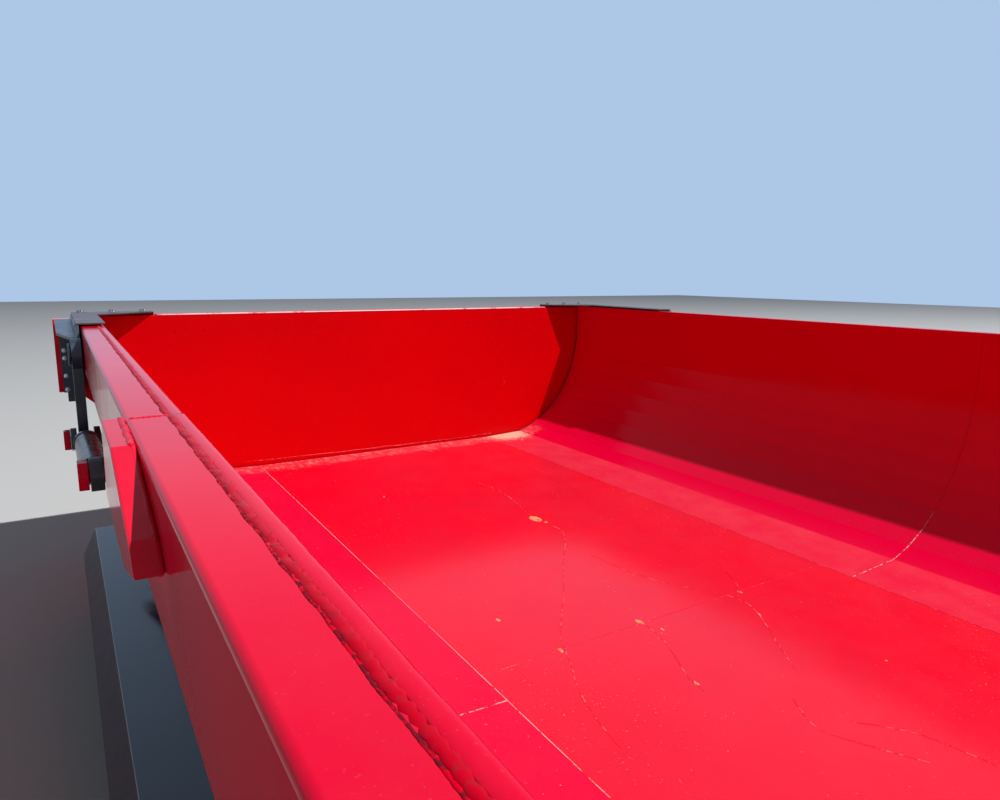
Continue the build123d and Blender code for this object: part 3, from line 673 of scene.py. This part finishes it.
stitchLook = {
    "half": 0.03, "bead": {"width": 0.011, "height": 0.0055, "pitch": 0.01, "drift": 0.0006, "swell": 0.0008},
    "ribs": (-0.9, -0.54, -0.18, 0.18, 0.54, 0.9), "bearers": 11, "bearerWidth": 0.06,
    "bearerPlaces": (-0.5, -0.32, -0.13, 0.13, 0.32, 0.5),
    "gateBack": 0.0052, "gateHalfRib": 0.04, "gateLevels": (0.36, 0.52, 0.68, 0.83),
    "headboardHalfRib": 0.03, "headboardLevels": (0.32, 0.48, 0.64, 0.8),
}


def stitches(name, places, body="load_body"):
    # short fillet welds, modelled once and copied
    stitch = weldBead((-stitchLook["half"], 0, 0), (stitchLook["half"], 0, 0), (0, 0, 1), **stitchLook["bead"])
    return weldPiece(name, copyTo(stitch, places), body)


def bearerStitches():
    low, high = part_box("cross_bearers")
    width, count = stitchLook["bearerWidth"], stitchLook["bearers"]
    pitch = (high.x - low.x - width) / (count - 1)
    places = []
    for index in range(count):
        for edge, side in ((low.x + index * pitch, -1), (low.x + index * pitch + width, 1)):
            for y in stitchLook["bearerPlaces"]:
                places.append(facing((edge, y, floorLow), (0, 1, 0), (side, 0, -1)))
    return stitches("bearer_stitches", places)


def ribStitches(name, face, direction, halfRib, levels, body):
    # along both edges of the upright ribs on an end wall
    places = []
    for rib in stitchLook["ribs"]:
        for edge in (-1, 1):
            for level in levels:
                place = (face, rib + edge * halfRib, level)
                places.append(facing(place, (0, 0, 1), (direction, edge, 0)))
    return stitches(name, places, body)


for sign, side in ((1, "left"), (-1, "right")):
    railWelds(sign, side)
    railStepWeld(sign, side)
    lugWeld(sign, side)
    sideJointWeld(sign, side)
    y = sign * floorHalf
    seam = weldBead((bodyRear, y, floorTop), (bodyFront, y, floorTop), (0, 0, 1), **seamBead)
    weldPiece("floor_seam_" + side, [seam], finish=seamFaint if sign > 0 else seamDust)
joint = weldBead((floorJoint, -floorHalf, floorTop), (floorJoint, floorHalf, floorTop), (0, 0, 1), **seamBead)
weldPiece("floor_joint_weld", [joint], finish=jointPlain)
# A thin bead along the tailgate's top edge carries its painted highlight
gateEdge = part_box("cap_plate_left")[0].y - 0.01
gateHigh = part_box("gate_sheet")[1].z - 0.0025
rim = weldBead((gateFace, -gateEdge, gateHigh), (gateFace, gateEdge, gateHigh), (1, 0, 0.7), **gateTopBead)
weldPiece("gate_top_edge", [rim], "tailgate", edgePaintedHighlight)
headboardWeld()
bearerStitches()
ribStitches("gate_rib_stitches", gateFace - stitchLook["gateBack"], -1, stitchLook["gateHalfRib"],
            stitchLook["gateLevels"], "tailgate")
ribStitches("headboard_stitches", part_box("headboard_sheet")[1].x, 1, stitchLook["headboardHalfRib"],
            stitchLook["headboardLevels"], "load_body")
print("welds laid")


# Bolts: a hexagon head on a round washer, standing on Z

boltLook = {"flatShare": 0.09, "domeShare": 0.03, "edge": 0.0005}


def hexBolt(across, height, washer, washerThick):
    bpy.ops.object.select_all(action="DESELECT")
    corner = across / 2 / math.cos(math.pi / 6)
    bpy.ops.mesh.primitive_cylinder_add(vertices=6, radius=corner, depth=height - washerThick,
                                        location=(0, 0, (height + washerThick) / 2))
    head = bpy.context.view_layer.objects.active
    bpy.ops.object.mode_set(mode="EDIT")
    bpy.ops.mesh.select_mode(type="FACE")
    bpy.ops.mesh.select_all(action="DESELECT")
    bpy.ops.object.mode_set(mode="OBJECT")
    for face in head.data.polygons:
        face.select = face.normal.z > 0.9
    bpy.ops.object.mode_set(mode="EDIT")
    bpy.ops.mesh.inset(thickness=across * boltLook["flatShare"], depth=0)
    bpy.ops.transform.translate(value=(0, 0, across * boltLook["domeShare"]))
    bpy.ops.object.mode_set(mode="OBJECT")
    head.location.z -= across * boltLook["domeShare"]
    bakePlace(head)
    bpy.ops.object.select_all(action="DESELECT")
    bpy.ops.mesh.primitive_cylinder_add(vertices=32, radius=washer / 2, depth=washerThick,
                                        location=(0, 0, washerThick / 2))
    ring = bpy.context.view_layer.objects.active
    bakePlace(ring)
    bolt = joinAs("bolt", [head, ring])
    bevel = bolt.modifiers.new("edges", "BEVEL")
    bevel.width = boltLook["edge"]
    bevel.segments = 2
    bevel.limit_method = "ANGLE"
    applyModifiers(bolt)
    bpy.ops.object.shade_smooth_by_angle(angle=math.radians(35))
    return bolt


# Across, height, washer and the washer's thickness, then the places
postBolt = {"size": (0.012, 0.008, 0.0165, 0.0025), "ahead": 0.012, "y": 1.2405, "below": [0.125, 0.154, 0.22, 0.271]}
capBolt = {"size": (0.0226, 0.008, 0.03, 0.0025), "behind": 0.028, "insets": [0.031, 0.136, 0.241]}


def postBolts(sign, side):
    bolt = hexBolt(*postBolt["size"])
    face, y = gateFace + postBolt["ahead"], sign * postBolt["y"]
    places = [facing((face, y, railTop - below), (0, 1, 0), (1, 0, 0)) for below in postBolt["below"]]
    return dress(joinAs("post_bolts_" + side, copyTo(bolt, places)), "tailgate", zinc)


def capBolts(sign, side):
    # the frame's plain heads are covered by these, as high and a hair wider
    low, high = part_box("cap_plate_" + side)
    outer = max(abs(low.y), abs(high.y))
    bolt = hexBolt(*capBolt["size"])
    plateTop = high.z - capBolt["size"][1]
    places = [facing((gateFace - capBolt["behind"], sign * (outer - inset), plateTop), (1, 0, 0), (0, 0, 1))
              for inset in capBolt["insets"]]
    return dress(joinAs("cap_bolts_" + side, copyTo(bolt, places)), "tailgate", zinc)


for sign, side in ((1, "left"), (-1, "right")):
    postBolts(sign, side)
    capBolts(sign, side)
print("bolts set")


# Dried marks: run-off lines and flakes on the floor, a broken line and scratches on the tailgate

runLook = {"half": 0.0013, "thin": 0.16, "lift": 0.0001, "fine": 0.0008, "sway": 0.006}
runLines = {
    "runA": [(-1.86, 0.11), (-1.74, 0.14), (-1.57, 0.13), (-1.38, 0.08), (-1.27, 0.08), (-1.19, 0.10), (-1.09, 0.02)],
    "runB": [(-1.09, 0.02), (-0.97, -0.08), (-0.84, -0.17), (-0.73, -0.26), (-0.63, -0.34), (-0.55, -0.37),
             (-0.41, -0.45), (-0.27, -0.47)],
    "runC": [(-0.99, 0.04), (-0.89, 0.05), (-0.77, 0.07), (-0.68, 0.12), (-0.56, 0.20), (-0.45, 0.14),
             (-0.36, 0.07), (-0.28, 0.02)],
    "runD": [(-0.60, -0.12), (-0.55, -0.12), (-0.45, -0.16), (-0.36, -0.21), (-0.32, -0.21)],
    "runE": [(-0.77, 0.33), (-0.70, 0.29), (-0.61, 0.24)],
    "runF": [(-0.21, -0.08), (-0.14, -0.13), (-0.09, -0.11), (-0.04, -0.08), (0.03, -0.04)],
    "runG": [(-0.11, -0.05), (-0.06, 0.0), (-0.01, 0.03), (0.04, 0.04), (0.09, 0.05)],
}
# Flakes: x, y, length, width
flakes = [
    (-1.335, 0.077, 0.058, 0.034), (-1.29, 0.09, 0.014, 0.008), (-0.603, -0.122, 0.032, 0.014),
    (-0.597, -0.364, 0.022, 0.012), (-0.591, 0.219, 0.017, 0.01), (-0.785, -0.409, 0.016, 0.008),
    (-1.816, -0.274, 0.012, 0.008), (-1.024, -0.302, 0.012, 0.006), (-0.55, -0.10, 0.012, 0.006),
    (-0.35, -0.20, 0.014, 0.006), (-0.48, 0.16, 0.012, 0.007), (-0.20, 0.22, 0.008, 0.005),
]
flakeLook = {"half": 0.0006, "alongPush": 0.012, "acrossPush": -0.009}


def markLine(name, points, normal, half=runLook["half"]):
    curve = bpy.data.curves.new(name, "CURVE")
    curve.dimensions = "3D"
    curve.bevel_depth = half
    curve.bevel_resolution = 1
    curve.resolution_u = 10
    spline = curve.splines.new("NURBS")
    spline.points.add(len(points) - 1)
    for point, place in zip(spline.points, points):
        point.co = (*place, 1)
    spline.order_u = 3
    spline.use_endpoint_u = True
    line = bpy.data.objects.new(name, curve)
    bpy.context.scene.collection.objects.link(line)
    selectOnly(line)
    bpy.ops.object.convert(target="MESH")
    line = bpy.context.view_layer.objects.active
    # flattened onto the surface that it dried on
    middle = Vector(points[0])
    flat = Matrix.Scale(runLook["thin"], 4, normal)
    line.matrix_world = Matrix.Translation(middle) @ flat @ Matrix.Translation(-middle)
    bakePlace(line)
    bpy.ops.object.shade_smooth()
    return line


def floorRuns():
    level = floorTop + runLook["lift"]
    lines = [markLine(name, [(x, y, level) for x, y in points], (0, 0, 1)) for name, points in runLines.items()]
    runs = joinAs("floor_runs", lines)
    pushBy(runs, swellNoise, "Y", runLook["sway"])
    applyModifiers(runs)
    return dress(runs, "load_body", runMark)


def floorFlakes():
    chips = []
    for x, y, length, width in flakes:
        bpy.ops.object.select_all(action="DESELECT")
        bpy.ops.mesh.primitive_ico_sphere_add(subdivisions=3, radius=1, location=(x, y, floorTop))
        chip = bpy.context.view_layer.objects.active
        chip.scale = (length / 2, width / 2, flakeLook["half"])
        bakePlace(chip)
        chips.append(chip)
    chips = joinAs("floor_flakes", chips)
    pushBy(chips, swellNoise, "X", flakeLook["alongPush"])
    pushBy(chips, swellNoise, "Y", flakeLook["acrossPush"])
    applyModifiers(chips)
    bpy.ops.object.shade_smooth()
    return dress(chips, "load_body", flakeTan)


# Lines on the tailgate's face: across, height above the floor
footLine = {
    "points": [(-0.62, 0.022), (-0.45, 0.018), (-0.23, 0.015), (0.1, 0.011), (0.35, 0.009), (0.6, 0.012)],
    "sway": 0.005,
}
scratches = [
    [(0.668, 0.30), (0.676, 0.286), (0.678, 0.27)], [(0.664, 0.262), (0.667, 0.252)], [(0.661, 0.226), (0.662, 0.22)],
]


def gateLine(name, points):
    x = gateFace + runLook["lift"]
    return markLine(name, [(x, y, floorTop + height) for y, height in points], (1, 0, 0), runLook["fine"])


def gateFootLine():
    line = joinAs("gate_foot_line", [gateLine("footLine", footLine["points"])])
    pushBy(line, swellNoise, "Z", footLine["sway"])
    applyModifiers(line)
    return dress(line, "tailgate", footMark)


def gateScratches():
    # a few short scratches where something hit the tailgate
    lines = [gateLine("scratch", points) for points in scratches]
    return dress(joinAs("gate_scratches", lines), "tailgate", footMark)


floorRuns()
floorFlakes()
gateFootLine()
gateScratches()
print("dried marks laid")


# Light, floor and camera

stage = {"size": 60, "colour": (0.62, 0.62, 0.61, 1)}
sky = {"seen": (0.42, 0.57, 0.8, 1), "seenStrength": 1.0, "fill": (0.86, 0.91, 1.0, 1), "fillStrength": 0.11}


def makeStage():
    bpy.ops.object.select_all(action="DESELECT")
    bpy.ops.mesh.primitive_plane_add(size=stage["size"])
    ground = bpy.context.view_layer.objects.active
    ground.name = "studioFloor"
    pale = Finish("studioPale", Roughness=0.8, Base_Color=stage["colour"])
    ground.data.materials.append(pale.material)


def makeWorld():
    world = bpy.data.worlds.new("studio")
    bpy.context.scene.world = world
    world.use_nodes = True
    nodes, links = world.node_tree.nodes, world.node_tree.links
    plain = nodes["Background"]
    plain.inputs["Color"].default_value = sky["fill"]
    plain.inputs["Strength"].default_value = sky["fillStrength"]
    seen = nodes.new("ShaderNodeBackground")
    seen.inputs["Color"].default_value = sky["seen"]
    seen.inputs["Strength"].default_value = sky["seenStrength"]
    path = nodes.new("ShaderNodeLightPath")
    mix = nodes.new("ShaderNodeMixShader")
    previous = path.outputs["Is Camera Ray"]
    for ray in ("Is Glossy Ray", "Is Transmission Ray"):
        either = nodes.new("ShaderNodeMath")
        either.operation = "MAXIMUM"
        links.new(previous, either.inputs[0])
        links.new(path.outputs[ray], either.inputs[1])
        previous = either.outputs[0]
    links.new(previous, mix.inputs[0])
    links.new(plain.outputs[0], mix.inputs[1])
    links.new(seen.outputs[0], mix.inputs[2])
    links.new(mix.outputs[0], nodes["World Output"].inputs["Surface"])


lamps = {
    "key": {"place": (11.1, 10.8, 25.15), "target": (-0.6, 0, 0.4), "size": 0.5, "power": 10300, "inGloss": True},
    "fill": {"place": (5.5, 0.5, 4.5), "target": (-0.5, 0, 0.4), "size": 5.0, "power": 45, "inGloss": False},
}


def makeLamp(name, place, target, size, power, inGloss):
    light = bpy.data.lights.new(name, "AREA")
    light.shape = "DISK"
    light.size = size
    light.energy = power
    lamp = bpy.data.objects.new(name, light)
    bpy.context.scene.collection.objects.link(lamp)
    lamp.location = place
    lamp.rotation_euler = (Vector(target) - Vector(place)).to_track_quat("-Z", "Y").to_euler()
    lamp.visible_glossy = inGloss


cameraView = {
    "place": (0.567, -1.246, 1.083), "heading": 0.5543, "down": 0.1742, "roll": 0.0089, "lens": 25.585, "sensor": 36,
    "near": 0.02,
}


def makeCamera():
    data = bpy.data.cameras.new("photoView")
    data.lens = cameraView["lens"]
    data.sensor_width = cameraView["sensor"]
    data.clip_start = cameraView["near"]
    eye = bpy.data.objects.new("photoView", data)
    bpy.context.scene.collection.objects.link(eye)
    eye.location = cameraView["place"]
    turn = Matrix.Rotation(math.pi / 2 - cameraView["heading"], 4, "Z")
    tilt = Matrix.Rotation(math.pi / 2 - cameraView["down"], 4, "X")
    roll = Matrix.Rotation(cameraView["roll"], 4, "Z")
    eye.rotation_euler = (turn @ tilt @ roll).to_euler()
    bpy.context.scene.camera = eye


makeStage()
makeWorld()
for lampName, lamp in lamps.items():
    makeLamp(lampName, **lamp)
makeCamera()
bpy.context.scene.view_settings.view_transform = "Standard"
print("stage, light and camera set")

bpy.context.view_layer.update()
